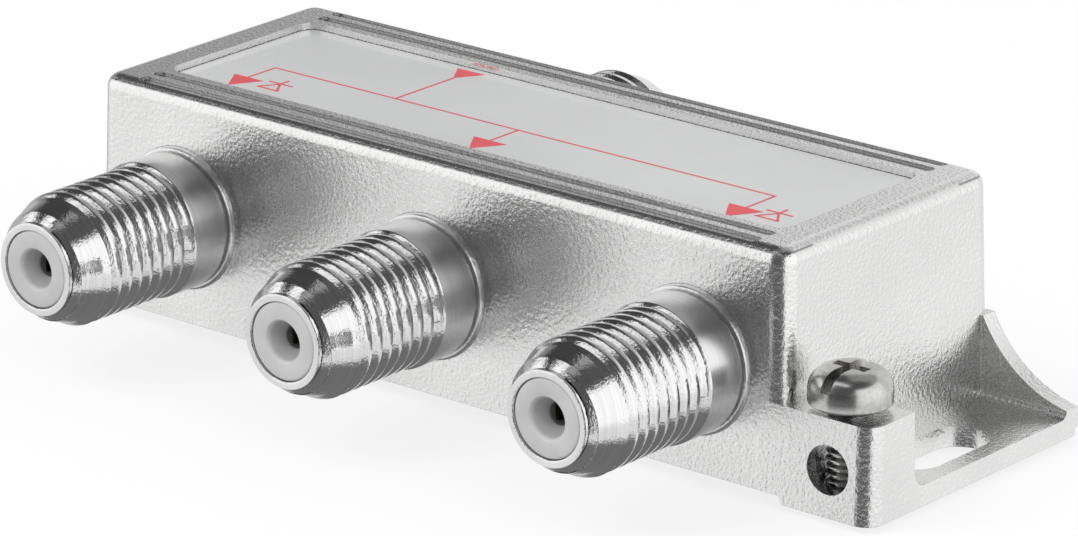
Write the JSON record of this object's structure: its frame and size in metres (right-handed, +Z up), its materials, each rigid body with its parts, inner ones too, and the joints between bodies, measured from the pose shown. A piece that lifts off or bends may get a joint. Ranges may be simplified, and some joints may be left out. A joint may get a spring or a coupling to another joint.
{
  "type": "coaxial splitter",
  "caption": "Die-cast coaxial signal splitter with threaded output sockets on one long side, an input socket on the other, slotted mounting ears and a ground block with its clamp screw.",
  "frame": {"origin": "middle of the casting in plan, on the mounting plane on which the undersides of the two ears lie", "axes": "+Z up out of the labelled top face, +X along the housing towards the ground block, -Y out of the output sockets, +Y out of the input socket"},
  "size_m": [0.076, 0.0522, 0.0177],
  "materials": {
    "cast_metal": "satin nickel plate over a zinc casting",
    "socket_metal": "bright nickel plate over turned brass",
    "plate_metal": "tinned sheet",
    "screw_metal": "zinc plate, satin",
    "label_film": "slightly glossy printed film",
    "insulator_plastic": "moulded, matt",
    "contact_metal": "tinned bronze spring",
    "board_laminate": "lacquered laminate",
    "ferrite": "matt sintered",
    "winding_wire": "enamelled copper wire",
    "capacitor_ceramic": "matt",
    "resistor_ceramic": "glazed top",
    "diode_moulding": "moulded, matt"
  },
  "bodies": {
    "case": {"housing": "cast_metal", "base_plate": "plate_metal", "label": "label_film", "output_socket_1": "socket_metal", "output_socket_2": "socket_metal", "output_socket_3": "socket_metal", "input_socket": "socket_metal", "output_insulator_1": "insulator_plastic", "output_insulator_2": "insulator_plastic", "output_insulator_3": "insulator_plastic", "input_insulator": "insulator_plastic", "output_contact_1": "contact_metal", "output_contact_2": "contact_metal", "output_contact_3": "contact_metal", "input_contact": "contact_metal", "circuit_board": "board_laminate", "input_core": "ferrite", "input_winding": "winding_wire", "splitter_core_1": "ferrite", "splitter_core_2": "ferrite", "splitter_winding_1": "winding_wire", "splitter_winding_2": "winding_wire", "capacitor_1": "capacitor_ceramic", "capacitor_2": "capacitor_ceramic", "capacitor_3": "capacitor_ceramic", "capacitor_4": "capacitor_ceramic", "resistor_1": "resistor_ceramic", "resistor_2": "resistor_ceramic", "resistor_3": "resistor_ceramic", "pass_diode_1": "diode_moulding", "pass_diode_2": "diode_moulding", "pass_diode_3": "diode_moulding", "choke_1": "ferrite", "choke_2": "ferrite", "choke_3": "ferrite"},
    "screw": {"ground_screw": "screw_metal"}
  },
  "joints": [
    {"name": "ground_screw_travel", "type": "slide", "parent": "case", "child": "screw", "axis": [0, 0, 1], "range_m": [-0.00045, 0.00575]}
  ]
}
